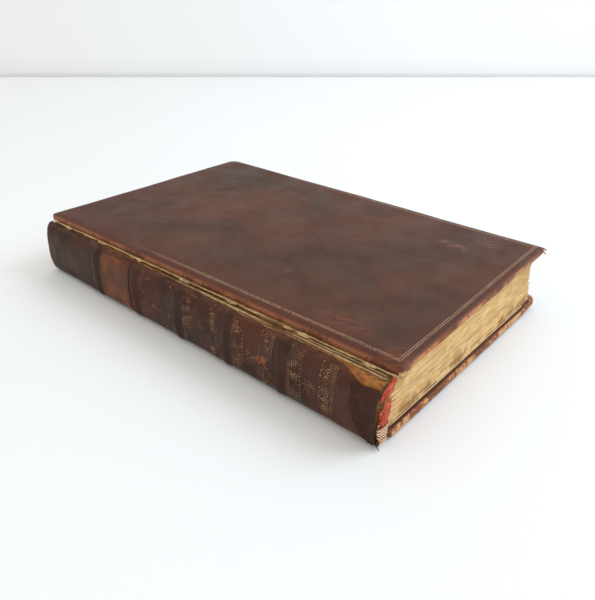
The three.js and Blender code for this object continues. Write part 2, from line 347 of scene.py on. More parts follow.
def cover_calf(name, worn_spots, edge_rub_and_highlight_tint, scraped_tint, scraped_from, patch_size):
    """Cover leather: a double fillet inside the edge, scuffs, and its edges scraped through to the tan.

    The scraping starts scraped_from metres inside the edge and comes in patches; a larger patch_size
    draws them out longer. On the arris the edge tint is a painted highlight mixed with rubbing on the
    front cover, and a painted blue-grey reflection of the table on the back cover.
    """
    s = Shader(name)
    uv = s.uv()
    here = s.object_space()
    x, y, _ = s.split(uv)
    base, height = calf(s, uv, (70, 46, 33), (89, 51, 32))
    distance = edge_distance(s, uv)
    base = s.over(base, (82, 45, 32), s.fade(distance, 0.016, 0.001, 0, 0.7))
    fillets = s.math("MAXIMUM", line(s, distance, 3.2, 0.12), line(s, distance, 4.05, 0.13))
    kept = s.fade(s.noise(here, 1300, 3, 0.65), 0.36, 0.52)
    base = s.over(base, (196, 160, 124), fillets, kept, s.fade(y, 0.150, 0.095), 0.75)
    turned = s.node("ShaderNodeVectorRotate", {"Vector": uv, "Angle": SCUFF_TURN}, rotation_type="Z_AXIS")
    scuffs = s.fade(s.noise(s.scaled(turned, (1, 0.2, 1)), 700, 4, 0.7, 0.4), 0.44, 0.68)
    for centre, radii, tint, share in worn_spots:
        base = s.over(base, tint, spot(s, uv, centre, radii), scuffs, share)
    patches = s.noise(s.scaled(here, (1 / patch_size, 1 / patch_size, 0.4)), 110, 5, 0.66, 0.3)
    rub = s.average(patches, s.noise(here, 800, 4, 0.7), 0.7)
    # Along the arris: a painted highlight mixed with rubbing on the front cover, a painted blue-grey
    # reflection of the table on the back cover.
    arris = s.fade(s.math("ABSOLUTE", distance), 0.0014, 0.0002)
    base = s.over(base, edge_rub_and_highlight_tint, arris, s.fade(rub, 0.34, 0.52), 0.8)
    outside = s.fade(distance, scraped_from, scraped_from - 0.0009)
    inside = s.fade(distance, -0.0034, -0.0027, 0, 0.9)
    scraped = s.product(outside, inside, s.fade(x, -0.0004, 0.0006, 0.3, 1))
    base = s.over(base, (136, 78, 46), scraped, s.fade(rub, 0.40, 0.47))
    base = s.over(base, scraped_tint, scraped, s.fade(rub, 0.485, 0.54))
    gloss = s.fade(s.noise(uv, 60, 4, 0.6), 0.3, 0.7, 0.44, 0.6)
    normal = s.bump(height, 0.09, 0.55)
    normal = s.bump(s.math("SUBTRACT", 1.0, fillets), 0.12, 0.5, normal)
    return s.finish(base, gloss, normal, specular=0.16)


def spine_calf():
    """Spine leather: darker and redder than the covers, rubbed, flecked and cracked."""
    s = Shader("spine_calf")
    uv = s.uv()
    arc, y, _ = s.split(uv)
    base, height = calf(s, uv, (50, 34, 26), (84, 43, 27))
    scuff = s.fade(s.noise(uv, 150, 5, 0.7, 0.5), 0.56, 0.74)
    base = s.over(base, (124, 62, 36), scuff, 0.4)
    flecks = s.fade(s.noise(uv, 1300, 2, 0.6), 0.64, 0.74)
    base = s.over(base, (160, 112, 80), flecks, 0.4)
    for band in BAND_Y:
        beside = s.apart(y, (band + HEIGHT / 2) * MM)
        base = s.over(base, (46, 30, 24), s.fade(beside, 0.0052, 0.0030, 0, 0.42))
    base = s.over(base, (56, 36, 24), s.fade(y, (HEIGHT - 44) * MM, (HEIGHT - 36) * MM, 0, 0.5))
    base = s.over(base, (92, 52, 38), s.fade(y, 0.026, 0.015, 0, 0.55))
    torn_rim = s.fade(arc, 0.0042, 0.0018)
    base = s.over(base, (112, 68, 40), torn_rim, s.fade(s.noise(uv, 300, 4, 0.6), 0.4, 0.6), 0.4)
    scarlet = s.fade(s.noise(uv, 420, 4), 0.46, 0.58)
    base = s.over(base, (170, 72, 38), spot(s, uv, (15, 53), (3.0, 4.0)), scarlet, 0.9)
    warped = s.node("ShaderNodeVectorMath", {0: uv, 1: s.noise(uv, 160, 3)}, operation="ADD")
    cells = s.cells(warped, 95, 1.0, "DISTANCE_TO_EDGE")
    cracks = s.product(s.fade(cells, 0.035, 0.008), s.fade(s.noise(uv, 70, 3), 0.50, 0.60))
    base = s.over(base, (26, 17, 14), cracks, 0.85)
    gloss = s.fade(s.noise(uv, 90, 4, 0.6), 0.3, 0.7, 0.42, 0.62)
    normal = s.bump(height, 0.16, 0.7)
    normal = s.bump(s.math("SUBTRACT", 1.0, cracks), 0.3, 0.8, normal)
    return s.finish(base, gloss, normal)


def flap_calf():
    """The flap at the tail: dark, dry leather."""
    s = Shader("flap_calf")
    base, height = calf(s, s.uv(), (54, 33, 24), (76, 42, 29))
    dry = s.noise(s.object_space(), 420, 5, 0.75)
    base = s.over(base, (96, 56, 38), s.fade(dry, 0.50, 0.68, 0, 0.45))
    return s.finish(base, 0.6, s.bump(s.math("ADD", height, dry), 0.3, 0.9), specular=0.16)


def label_calf():
    """The label: smoother and lighter than the spine, darker towards the bands."""
    s = Shader("label_calf")
    uv = s.uv()
    cloud = s.noise(uv, 90, 4, 0.6, 0.4)
    base = s.mix(s.fade(cloud, 0.35, 0.66), (80, 44, 22), (120, 64, 29))
    rubs = s.fade(s.noise(s.scaled(uv, (1, 3, 1)), 420, 4, 0.7), 0.52, 0.7)
    base = s.over(base, (72, 42, 30), rubs, 0.5)
    middle = ((BAND_Y[0] + BAND_Y[1]) / 2 + HEIGHT / 2) * MM
    beside = s.apart(s.split(uv)[1], middle)
    base = s.over(base, (60, 36, 27), s.fade(beside, 0.0075, 0.0105), 0.7)
    return s.finish(base, 0.5, s.bump(s.noise(uv, 1800, 3, 0.6), 0.08, 0.6), specular=0.24)


def torn_leather(name, first, second):
    """The tan inside of leather where it has torn, with its fibres; near-black, it also serves as painted
    shade in the gap beside the tail flap.
    """
    s = Shader(name)
    here = s.object_space()
    fibre = s.noise(s.scaled(here, (1, 0.5, 1)), 700, 6, 0.75, 0.2)
    base = s.mix(s.fade(fibre, 0.34, 0.66), first, second)
    stain = s.fade(s.noise(here, 130, 4, 0.6), 0.46, 0.7)
    base = s.over(base, (104, 62, 34), stain, 0.55)
    return s.finish(base, 0.85, s.bump(fibre, 0.2, 0.8))


def pasteboard():
    """Board made of pasted layers of paper, which show at its edges."""
    s = Shader("pasteboard")
    here = s.object_space()
    layers = s.noise(s.scaled(here, (0.12, 0.12, 1)), 2600, 3, 0.6)
    base = s.mix(s.fade(layers, 0.35, 0.65), (150, 118, 78), (198, 168, 120))
    dirt = s.fade(s.noise(here, 160, 4, 0.65), 0.5, 0.72)
    base = s.over(base, (106, 74, 46), dirt, 0.55)
    return s.finish(base, 0.9, s.bump(layers, 0.15, 0.7))


def leaf_edges():
    """Cut edges of rag paper: fine streaks along the leaves, blotches, and brown stains at the folds."""
    s = Shader("leaf_edges")
    here = s.object_space()
    x, _, z = s.split(here)
    streaks = s.noise(s.scaled(here, (0.03, 0.03, 1)), 3600, 4, 0.75)
    base = s.mix(s.fade(streaks, 0.34, 0.66), (204, 164, 106), (248, 220, 164))
    runs = s.noise(s.scaled(here, (0.05, 0.05, 1)), 900, 3, 0.6)
    base = s.over(base, (150, 110, 62), s.fade(runs, 0.50, 0.66, 0, 0.45))
    blotch = s.noise(here, 130, 5, 0.65)
    base = s.over(base, (186, 146, 84), s.fade(blotch, 0.48, 0.64, 0, 0.4))
    bright = s.noise(s.scaled(here, (1, 1, 0.5)), 210, 4, 0.6)
    base = s.over(base, (252, 230, 182), s.fade(bright, 0.54, 0.68, 0, 0.35))
    specks = s.fade(s.noise(here, 1300, 2, 0.5), 0.68, 0.78)
    base = s.over(base, (110, 70, 38), specks, 0.5)
    base = s.over(base, (146, 96, 48), s.fade(z, 0.0115, 0.005), s.fade(blotch, 0.42, 0.56), 0.8)
    base = s.over(base, (104, 72, 40), s.fade(x, (SPINE_X + 2) * MM, (SPINE_X - 1) * MM, 0, 0.75))
    return s.finish(base, 0.88, s.bump(streaks, 0.14, 0.7))


def paper(name, light, shade):
    """Laid paper, a little foxed, and stained along the spine."""
    s = Shader(name)
    here = s.object_space()
    cloud = s.noise(here, 40, 4, 0.6, 0.3)
    base = s.mix(s.fade(cloud, 0.38, 0.66), light, shade)
    foxing = s.fade(s.noise(here, 210, 4, 0.6), 0.62, 0.74)
    base = s.over(base, (156, 106, 58), foxing, 0.25)
    stained = s.fade(s.split(here)[0], (SPINE_X + 6) * MM, (SPINE_X + 1) * MM, 0, 0.7)
    base = s.over(base, (112, 80, 46), stained)
    inputs = {"Vector": here, "Scale": 260.0, "Distortion": 0.3}
    laid = s.node("ShaderNodeTexWave", inputs, bands_direction="Y")
    height = s.math("ADD", s.noise(here, 900, 3, 0.6), s.product(laid, 0.3))
    return s.finish(base, 0.88, s.bump(height, 0.05, 0.5))


def thread(name, light, shade, twist=2400):
    """Twisted thread, faded in places."""
    s = Shader(name)
    here = s.object_space()
    strand = s.noise(s.scaled(here, (1, 1, 1.8)), twist, 3, 0.6)
    base = s.mix(s.fade(strand, 0.34, 0.66), light, shade)
    wear = s.fade(s.noise(here, 420, 4, 0.6), 0.5, 0.68)
    base = s.over(base, (206, 136, 92), wear, 0.45)
    return s.finish(base, 0.7, s.bump(strand, 0.08, 0.8), specular=0.3, sheen=0.15)


def gilt():
    """Worn gold tooling: bright flecks of it, the rest rubbed down to the leather."""
    s = Shader("gilt")
    here = s.object_space()
    wear = s.noise(here, 1100, 4, 0.75)
    base = s.mix(s.fade(wear, 0.36, 0.60), (88, 58, 38), (200, 164, 108))
    base = s.over(base, (84, 52, 34), s.fade(s.noise(here, 260, 3, 0.6), 0.46, 0.6, 0, 0.85))
    return s.finish(base, 0.45, s.bump(wear, 0.05, 0.6), specular=0.5, metallic=0.25)


def room_surface(name, tint, foot=0.0):
    """A pale plain surface; foot lays painted shade on a wall where it meets the table."""
    s = Shader(name)
    here = s.object_space()
    cloud = s.fade(s.noise(here, 3, 2, 0.5), 0.4, 0.6, 0.0, 0.3)
    base = s.mix(cloud, tint, [c * 0.985 for c in tint])
    height = s.math("ABSOLUTE", s.split(here)[1])
    # Painted shade where the wall meets the table: a soft band, then a thin dark line at the join.
    base = s.over(base, (150, 150, 156), s.fade(height, 0.030, 0.002, 0, foot * 0.35))
    base = s.over(base, (150, 150, 154), s.fade(height, 0.007, 0.001, 0, foot))
    return s.finish(base, 0.75)


# Worn places on the covers: centre and radii (mm, on the cover's own plan), colour, share.
FRONT_WEAR = [
    ((100, 33), (5, 13), (166, 116, 92), 0.6),
    ((112, 21), (6, 9), (158, 108, 84), 0.5),
    ((30, 74), (4, 4), (158, 104, 76), 0.6),
    ((30, 150), (5, 2), (140, 92, 68), 0.5),
    ((3, 5), (12, 10), (140, 76, 44), 0.6),
    ((WIDTH, 0), (8, 8), (190, 132, 86), 0.9),
    ((12, 30), (9, 18), (136, 74, 46), 0.6),
    ((54, -1.5), (16, 3), (176, 120, 84), 0.9),
]
BACK_WEAR = [
    ((WIDTH, 0), (16, 12), (198, 150, 98), 0.95),
    ((WIDTH, HEIGHT), (10, 10), (190, 140, 90), 0.9),
    ((60, 0), (70, 5), (186, 136, 86), 0.7),
    ((70, 110), (40, 60), (120, 84, 62), 0.4),
]
# The third tint of each is for its arris: painted highlight and rubbing on the front, painted reflection
# of the table on the back.
FRONT_CALF = cover_calf("front_cover_calf", FRONT_WEAR, (118, 72, 54), (192, 130, 86), 0.0004, 1.5)
BACK_CALF = cover_calf("back_cover_calf", BACK_WEAR, (112, 102, 104), (208, 156, 104), 0.0002, 2.0)
SPINE_CALF = spine_calf()
FLAP_CALF = flap_calf()
LABEL_CALF = label_calf()
FLESH = torn_leather("torn_flesh", (168, 132, 92), (208, 178, 134))
BROWN_FLESH = torn_leather("brown_flesh", (122, 72, 36), (174, 114, 58))
DARK_FLESH = torn_leather("dark_flesh", (58, 40, 28), (104, 74, 46))
# Dark brown: a stained lining, darkened further as painted shade under the front cover's spine edge.
STAINED_LINING_AND_SHADE = torn_leather("stained_lining_and_shade", (86, 60, 38), (136, 100, 62))
# Near-black: painted shade in the gap beside the lifted tail flap.
CRACK_SHADE = torn_leather("crack_shade", (26, 17, 13), (46, 31, 23))
PASTEBOARD = pasteboard()
LEAVES = leaf_edges()
PAGE = paper("page", (228, 204, 158), (216, 188, 140))
ENDPAPER = paper("endpaper", (226, 203, 160), (214, 187, 141))
PASTEDOWN = paper("pastedown", (212, 186, 144), (198, 170, 126))
LINING = paper("spine_lining", (190, 160, 116), (160, 126, 84))
HEMP = thread("hemp", (196, 166, 116), (148, 112, 70), 1600)
RED_SILK = thread("red_silk", (214, 96, 64), (170, 50, 32))
MADDER_SILK = thread("madder_silk", (150, 78, 48), (92, 44, 28))
CREAM_SILK = thread("cream_silk", (252, 232, 194), (222, 188, 142))
GILT = gilt()


# ---- Covers ----
# A cover's own plan runs from its spine edge (x = 0) and its tail (y = 0), its outer face at depth 0.
def front_place(points):
    """From the front cover's plan to the book: it has slid, and turned about its head corner."""
    x, y, depth = (points[..., k] for k in range(3))
    c, s = math.cos(SKEW), math.sin(SKEW)
    return points_of(
        SPINE_X + FRONT_SHIFT[0] + c * x - s * (y - HEIGHT),
        HEIGHT / 2 + FRONT_SHIFT[1] + s * x + c * (y - HEIGHT),
        TOP - depth,
    )


def back_place(points):
    x, y, depth = (points[..., k] for k in range(3))
    return points_of(SPINE_X + x, y - HEIGHT / 2, depth)


# Radii of a cover's corners: spine and tail, fore-edge and tail, fore-edge and head, spine and head.
FRONT_RADII = (1.2, 2.0, 5.5, 1.2)
BACK_RADII = (1.2, 5.0, 5.0, 1.2)


def plan_ring(margin, radii, per_side=(60, 44)):
    """Points round a cover's plan set in by a margin, starting at the spine's tail corner."""
    r = [max(radius - margin, 0.3) for radius in radii]
    right, head = WIDTH - margin, HEIGHT - margin
    middles = [
        (margin + r[0], margin + r[0]),
        (right - r[1], margin + r[1]),
        (right - r[2], head - r[2]),
        (margin + r[3], head - r[3]),
    ]
    ring = []
    for index, radius in enumerate(r):
        angles = np.radians(np.linspace(180, 270, 8) + 90 * index)
        corner = middles[index] + radius * points_of(np.cos(angles), np.sin(angles))
        following = (index + 1) % 4
        start = math.radians(180 + 90 * following)
        end = np.array(middles[following]) + r[following] * np.array([math.cos(start), math.sin(start)])
        t = np.linspace(0, 1, per_side[index % 2] + 2)[1:-1, None]
        ring += [corner, corner[-1] + (end - corner[-1]) * t]
    return np.concatenate(ring)


# How the leather turns round a board's edge: margin in from the edge, and depth.
EDGE_PROFILE = [
    (58.0, 0.0), (40.0, 0.0), (24.0, 0.0), (14.0, 0.0), (8.0, 0.0), (5.0, 0.0), (3.0, 0.02), (1.9, 0.08),
    (1.1, 0.25), (0.5, 0.62), (0.12, 1.2), (0.0, 1.9), (0.08, 2.7), (0.45, 3.35), (1.1, 3.72), (2.4, 3.8),
    (6.0, 3.8), (12.0, 3.8), (12.0, 3.5),
]

SPINE_LAP = 0.55  # how far the torn leather stands out over the front board's bare spine edge


def cover_skin(name, put, material, radii, sag, ragged_spine=False):
    """A cover's leather as one closed skin. sag(x, y) drops it; ragged_spine tears its spine edge."""
    rings, plans = [], []
    walked = 0.0
    previous = EDGE_PROFILE[0]
    for margin, depth in EDGE_PROFILE:
        walked += math.hypot(margin - previous[0], depth - previous[1])
        previous = (margin, depth)
        ring = plan_ring(margin, radii)
        plans.append(plan_ring(max(EDGE_PROFILE[0][0] - walked, -9.0), radii))
        x, y = ring.T
        face = 1 - smoothstep(0.0, 1.5, depth)
        warp = 0.1 + 0.22 * rough(x / 45, y / 45, seed=3) + 0.05 * rough(x / 7, y / 7, seed=5)
        level = depth + face * warp
        nibble = 0.16 * rough(x / 2.4, y / 2.4, depth / 2, seed=11) * (margin < 2)
        if ragged_spine:
            limit = 3.3 + 0.4 * rough(y / 6, seed=21) + 0.3 * rough(y / 1.3, seed=22)
            spine_side = ring[:, 0] < margin + 0.25
            level = level - np.clip(level - limit, 0, None) * spine_side
            x = x - SPINE_LAP * smoothstep(3.0, 1.2, margin) * spine_side
        x = x + nibble * np.sign(x - WIDTH / 2)
        y = y + nibble * np.sign(y - HEIGHT / 2)
        rings.append(put(points_of(x, y, level - sag(x, y))))
    return place(name, *capped(rings), material, np.concatenate(plans), sharp=60, slot="cover_calf")


def curled_corner(x, y):
    """The back cover's tail corner at the fore-edge curls up off the table."""
    away = np.hypot(WIDTH - x, y)
    return -1.6 * (1 - smoothstep(0, 20, away))


def flat(x, y):
    return 0 * x


front_skin = cover_skin("front_cover_calf_skin", front_place, FRONT_CALF, FRONT_RADII, flat, True)
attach(front_skin, "front_cover")
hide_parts("front_cover_leather")
back_skin = cover_skin("back_cover_calf_skin", back_place, BACK_CALF, BACK_RADII, curled_corner)
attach(back_skin, "back_cover")
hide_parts("back_cover_leather")


# ---- The rounded back ----
def fold_x(z):
    """Where the folds of the leaves lie on the rounded back."""
    rise = np.clip(np.abs(z - BACK_Z) / (BACK_Z - 0.5), 0, 1)
    return BACK_X - 4.2 * (1 - rise**POWER) ** (1 / POWER)


def band_distance(y):
    return np.min([np.abs(y - band) for band in BAND_Y], axis=0)


def band_rise(y):
    distance = np.clip(band_distance(y) / BAND_HALF_WIDTH, 0, 1)
    return BAND_RISE / 2 * (1 + np.cos(np.pi * distance))


def back_point(degrees, y, depth, up=None, down=None):
    """A point of the back at an angle above its middle, for a layer that bulges by depth."""
    angle = np.radians(degrees)
    up = BACK_Z - 0.2 if up is None else up
    down = BACK_Z - 0.2 if down is None else down
    rise = np.abs(np.sin(angle)) ** (2 / POWER)
    z = BACK_Z + np.where(angle > 0, up, -down) * rise
    x = BACK_X - depth * np.cos(angle) ** (2 / POWER)
    return points_of(x, y, z)


ARC = np.linspace(88, -88, 353)
ARC_POINTS = back_point(ARC, 0.0, LEATHER_DEPTH)
ARC_LENGTH = np.concatenate([[0], np.cumsum(np.linalg.norm(np.diff(ARC_POINTS, axis=0), axis=1))])


def arc_of(degrees):
    """Distance down the leather from the front joint, at an angle."""
    return np.interp(-np.asarray(degrees), -ARC, ARC_LENGTH)


def degrees_of(distance):
    return np.interp(distance, ARC_LENGTH, ARC)


def leather_depth(degrees, y):
    """How far the worn leather's face stands out, with its bands, creases and dents."""
    distance = band_distance(y)
    crease = -0.1 * np.exp(-(((distance - 3.9) / 1.1) ** 2))
    hollow = -0.15 * smoothstep(4, 11, distance)
    arc = arc_of(degrees)
    dents = 0.18 * rough(arc / 9, y / 7, seed=31) + 0.06 * rough(arc / 1.6, y / 1.6, seed=33)
    cap = 1.1 * smoothstep(HEIGHT / 2 - 3.2, HEIGHT / 2 - 0.4, y) ** 2
    return LEATHER_DEPTH + band_rise(y) + crease + hollow + dents - cap


def top_edge(y):
    """The angle at which the torn leather begins below the front joint: lowest at the tail."""
    torn = 36 * smoothstep(-82, -91, y) - 8 * smoothstep(-92, -97, y)
    chips = 9 * np.clip(rough(y / 7, seed=41) - 0.15, 0, 1) + 1.6 * np.abs(rough(y / 1.4, seed=42))
    return 86 - torn - chips


def spine_grid(y, start, end, columns, depth_at, up=None, down=None):
    """A grid of points on the back: one row for each y, from angle start(y) to end(y)."""
    t = np.linspace(0, 1, columns)[None, :]
    first, last = (np.broadcast_to(a, y.shape)[:, None] for a in (start, end))
    degrees = first + (last - first) * t
    along = np.broadcast_to(y[:, None], degrees.shape)
    return degrees, along, back_point(degrees, along, depth_at(degrees, along), up, down)


def bend_with_text(piece):
    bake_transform(piece)


def back_sheet(name, y, angles, columns, depths, material, slot, ups=(None, None), inner_down=None):
    """A closed sheet on the back, between two angles and two depths."""
    outer, inner = depths
    degrees, along, out = spine_grid(y, *angles, columns, outer, ups[0])
    _, _, back = spine_grid(y, *angles, columns, inner, ups[1], inner_down)
    uv = points_of(arc_of(degrees), along + HEIGHT / 2)
    piece = sheet(name, out, back, material, slot, uv)
    bend_with_text(piece)
    return piece


def under_leather(gap):
    """A depth for back_sheet: the leather's own, less a gap."""
    return lambda degrees, y: leather_depth(degrees, y) - gap


spine_y = np.linspace(-HEIGHT / 2 + 2.2, HEIGHT / 2 - 0.4, 330)
leather = back_sheet(
    "spine_calf_skin",
    spine_y,
    (top_edge(spine_y), -88),
    64,
    (leather_depth, under_leather(0.85)),
    SPINE_CALF,
    "spine_calf",
    (None, BACK_Z - 0.9),
    BACK_Z - 1.0,
)
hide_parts("spine_leather")

# Under the back joint the leather runs on, unbroken, to the back cover.
under_y = np.linspace(-HEIGHT / 2 + 1.6, HEIGHT / 2 - 1.6, 120)[:, None]
under_x = np.linspace(SPINE_X - 3.5, SPINE_X - 0.1, 14)[None, :]
under_grid = np.broadcast_arrays(under_x, under_y)
under_dents = 0.06 * rough(under_grid[0] / 2, under_grid[1] / 4, seed=36)
under_outer = points_of(*under_grid, 0.22 + under_dents)
under_inner = points_of(*under_grid, np.full(under_dents.shape, 0.95))
under_uv = points_of(under_grid[0] - SPINE_X + ARC_LENGTH[-1] + 3.5, under_grid[1] + HEIGHT / 2)
under = sheet("back_joint_leather", under_outer, under_inner, SPINE_CALF, "spine_calf", under_uv, 40)
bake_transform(under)

# The leather's torn inner layer shows as a thin pale rim above it, and browner where the tail has torn.
TORN_TAIL = -76  # y below which the tail is torn
RIMS = [("head", TORN_TAIL, HEIGHT / 2 - 0.6, FLESH), ("tail", -HEIGHT / 2 + 2.4, TORN_TAIL, BROWN_FLESH)]
for name, low, high, tint in RIMS:
    y = np.linspace(low, high, int((high - low) * 1.8))
    thin_rim = np.clip(top_edge(y) + 2.0 + 1.6 * rough(y / 2.2, seed=51), 60, 88)
    back_sheet(
        f"spine_leather_flesh_{name}",
        y,
        (thin_rim if name == "head" else 86, 30),
        22,
        (under_leather(0.3), under_leather(1.1)),
        tint,
        "spine_calf",
        (BACK_Z - 0.42, BACK_Z - 0.7),
    )

# Loose at the tail: a dark flap of leather, lifting along one curved crack and torn to a tip at its foot.
FLAP_TAIL = -HEIGHT / 2 + 1.6
flap_degrees = np.linspace(52, -82, 60)[None, :]
flap_taper = smoothstep(62, 44, flap_degrees) * (1 - 0.95 * smoothstep(24, -76, flap_degrees))
crack_y = FLAP_TAIL + 0.4 + 9.5 * flap_taper
crack_y = crack_y + 0.8 * rough(flap_degrees / 11, seed=55) + 0.35 * rough(flap_degrees / 2.5, seed=58)
flap_rows = np.linspace(0, 1, 22)[:, None]
flap_y = FLAP_TAIL + (crack_y - FLAP_TAIL) * flap_rows
flap_lift = 0.5 + 0.9 * flap_rows**4 + 0.25 * rough(flap_degrees / 14, flap_y / 3, seed=56)
flap_grid = np.broadcast_to(flap_degrees, flap_y.shape)
flap_depth = leather_depth(flap_grid, flap_y) + flap_lift
flap_uv = points_of(arc_of(flap_grid), flap_y + HEIGHT / 2)
flap_outer = back_point(flap_grid, flap_y, flap_depth)
flap_inner = back_point(flap_grid, flap_y, flap_depth - 0.42)
flap = sheet("tail_loose_flap", flap_outer, flap_inner, FLAP_CALF, "spine_calf", flap_uv)
bend_with_text(flap)


def tatter(name, root, tip, bow, across, material, slot):
    """A torn strip of leather, from root to a pointed tip; bow bends it and across is half its width."""
    root, tip, bow, across = (np.array(v, float) for v in (root, tip, bow, across))
    t = np.linspace(0, 1, 12)[:, None, None]
    spread = np.linspace(-1, 1, 5)[None, :, None]
    middle = root + (tip - root) * t + bow * np.sin(np.pi * t * 0.9)
    strip = middle + across * spread * (1 - t**1.6) * (1 + 0.3 * rough(t * 5, spread, seed=57))
    normal = np.cross(tip - root, across)
    normal = normal / np.linalg.norm(normal) * 0.18
    return sheet(name, strip + normal, strip - normal, material, slot)


tail_foot = np.array([SPINE_X - 6.0, FLAP_TAIL + 0.4, 1.5])
TAIL_TATTERS = [  # reach, bow, half width
    ((-0.9, -2.2, -1.0), (-0.6, 0, 0.4), (0.5, 1.1, 0.6)),
    ((0.5, -1.3, 1.6), (-0.5, -0.3, 0), (-0.3, 0.2, 1.3)),
]
for number, (reach, bow, half) in enumerate(TAIL_TATTERS, start=1):
    name = f"tail_tatter_{number}"
    strip = tatter(name, tail_foot, tail_foot + reach, bow, half, DARK_FLESH, "spine_calf")
    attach(strip, "text_lower")


# Gold tooling on the spine: dotted fillets beside the bands, and columns of scrolls and rosettes.
def scroll(p, q, size, start, turn):
    angle = np.linspace(0, turn * 1.7 * 2 * np.pi, 46)
    reach = size * np.linspace(1.0, 0.12, 46)
    return points_of(p + reach * np.cos(start + angle), q + reach * np.sin(start + angle))


def circle(p, q, size):
    angle = np.linspace(0, 2 * np.pi, 26)
    return points_of(p + size * np.cos(angle), q + size * np.sin(angle))


def rays(p, q, inner, outer, count):
    for angle in np.linspace(0, 2 * np.pi, count, endpoint=False):
        unit = np.array([math.cos(angle), math.sin(angle)])
        yield np.linspace(np.array([p, q]) + inner * unit, np.array([p, q]) + outer * unit, 4)


def dots(p, q, size, count):
    """Short dashes set round a ring."""
    for angle in np.linspace(0, 2 * np.pi, count, endpoint=False):
        at = np.array([p + size * math.cos(angle), q + size * math.sin(angle)])
        yield np.array([at - 0.13, at + 0.13])


def compartment_tooling(middle, half):
    """Paths of one compartment, as (distance down the leather, y) points."""
    for sign in (-1, 1):
        for inset in (0.7, 1.5):
            q = middle + sign * (half - inset)
            for p in np.arange(3.0, 29.0, 0.62):
                yield np.array([[p, q], [p + 0.34, q]])
        column = middle + sign * (half - 3.9)
        for step, p in enumerate((5.0, 9.2, 13.4, 17.6, 21.8, 26.0)):
            if step % 2:
                yield scroll(p, column, 1.6, 0.6 * step, sign)
                yield from dots(p, column - sign * 0.3, 2.1, 7)
            else:
                yield circle(p, column, 1.3)
                yield circle(p, column, 0.5)
                yield from rays(p, column, 1.6, 2.0, 10)
                yield from dots(p, column, 2.4, 12)
        for p in np.arange(3.4, 28.0, 1.7):
            yield from dots(p, middle + sign * (half - 6.6), 0.25, 2)
    yield circle(15.5, middle, 0.8)
    for size, count in ((1.5, 8), (2.2, 12), (2.9, 8)):
        yield from dots(15.5, middle, size, count)


def ribbon_on_back(path, width, lift):
    """The points and quads of a thin strip that lies on the leather along a path."""
    p, q = path.T
    step = np.gradient(path, axis=0)
    step /= np.maximum(np.linalg.norm(step, axis=1), 1e-9)[:, None]
    across = points_of(-step[:, 1], step[:, 0]) * width / 2
    edges = []
    for sign in (-1, 1):
        side = path + sign * across
        degrees = degrees_of(side[:, 0])
        edges.append(back_point(degrees, side[:, 1], leather_depth(degrees, side[:, 1]) + lift))
    count = len(path)
    return np.concatenate(edges), [(i, i + 1, count + i + 1, count + i) for i in range(count - 1)]


# A near-black strip on the leather along the flap's lifted edge: painted shade in the gap there.
crack_path = points_of(arc_of(flap_degrees[0, 5:]), crack_y[0, 5:] + 0.2)
crack_shade = place("tail_crack_shade", *ribbon_on_back(crack_path, 1.3, 0.16), CRACK_SHADE, slot="spine_calf")
bend_with_text(crack_shade)

# Share of the gold that is left in each compartment from the third down; it is best kept at the tail.
GOLD_LEFT = [0.30, 0.46, 0.58, 0.70]
compartment_ends = [*BAND_Y[1:], BAND_Y[4] - BAND_PITCH]
gold = []
for kept, high, low in zip(GOLD_LEFT, compartment_ends, compartment_ends[1:]):
    middle, half = (high + low) / 2, (high - low) / 2 - 3.3
    for path in compartment_tooling(middle, half):
        strip, quads = ribbon_on_back(path, 0.2, 0.035)
        worn = 0.5 + 0.5 * rough(path[:, 0] / 2.4, path[:, 1] / 2.4, seed=101)
        keep = [quad for quad, value in zip(quads, worn) if value < kept]
        if keep:
            gold.append((strip, keep))
tooling = place("spine_gold_tooling", *joined(gold), GILT, slot="spine_calf")
bend_with_text(tooling)

label_y = np.linspace(BAND_Y[1] + 3.6, BAND_Y[0] - 3.6, 60)
label = back_sheet(
    "spine_label_panel",
    label_y,
    (62 - 3 * np.abs(rough(label_y / 3, seed=61)), -62),
    44,
    (under_leather(-0.22), under_leather(0.2)),
    LABEL_CALF,
    "label_leather",
)
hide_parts("spine_label")

band_edges = [band + side * BAND_HALF_WIDTH for band in BAND_Y for side in (1, -1)]
compartments = [HEIGHT / 2 - 2, *band_edges, -HEIGHT / 2 + 2]
for number in range(6):
    y = np.linspace(compartments[2 * number + 1] + 0.3, compartments[2 * number] - 0.3, 12)
    lining = back_sheet(
        f"spine_lining_patch_{number + 1}",
        y,
        (52, -28),
        16,
        (
            lambda degrees, y: 4.75 + 0.05 * rough(degrees / 9, y / 5, seed=71),
            lambda degrees, y: 4.35 + 0 * y,
        ),
        LINING,
        "spine_lining",
        (None, BACK_Z - 0.5),
        BACK_Z - 0.5,
    )
    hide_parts(f"spine_lining_{number + 1}")

for number, band in enumerate(BAND_Y, start=1):
    degrees = np.linspace(58, -30, 60)
    path = back_point(degrees, band, 5.4, BACK_Z - 0.5, BACK_Z - 0.5)
    strands = []
    for turn in (0, np.pi):
        phase = turn + np.linspace(0, 9 * np.pi, len(path))
        offset = 0.5 * points_of(np.cos(phase), np.sin(phase), 0 * phase)
        strands.append(tube(path + offset, 0.55))
    cord = place(f"sewing_cord_rope_{number}", *joined(strands), HEMP, slot="hemp_cord")
    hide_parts(f"sewing_cord_{number}")
    bend_with_text(cord)


# ---- The cracked front joint ----
def front_edge_sheet(name, y, reach, top, bottom, thickness, material, columns=6):
    """A ragged strip along the front board's spine edge, between two depths, standing out by reach."""
    t = np.linspace(0, 1, columns)[None, :]
    depth = top[:, None] + (bottom - top)[:, None] * t
    along = np.broadcast_to(y[:, None], depth.shape)
    out = -reach[:, None] * t**1.5 - SPINE_LAP
    outer = front_place(points_of(out - thickness, along, depth))
    inner = front_place(points_of(out, along, depth))
    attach(sheet(name, outer, inner, material, "cover_calf"), "front_cover")


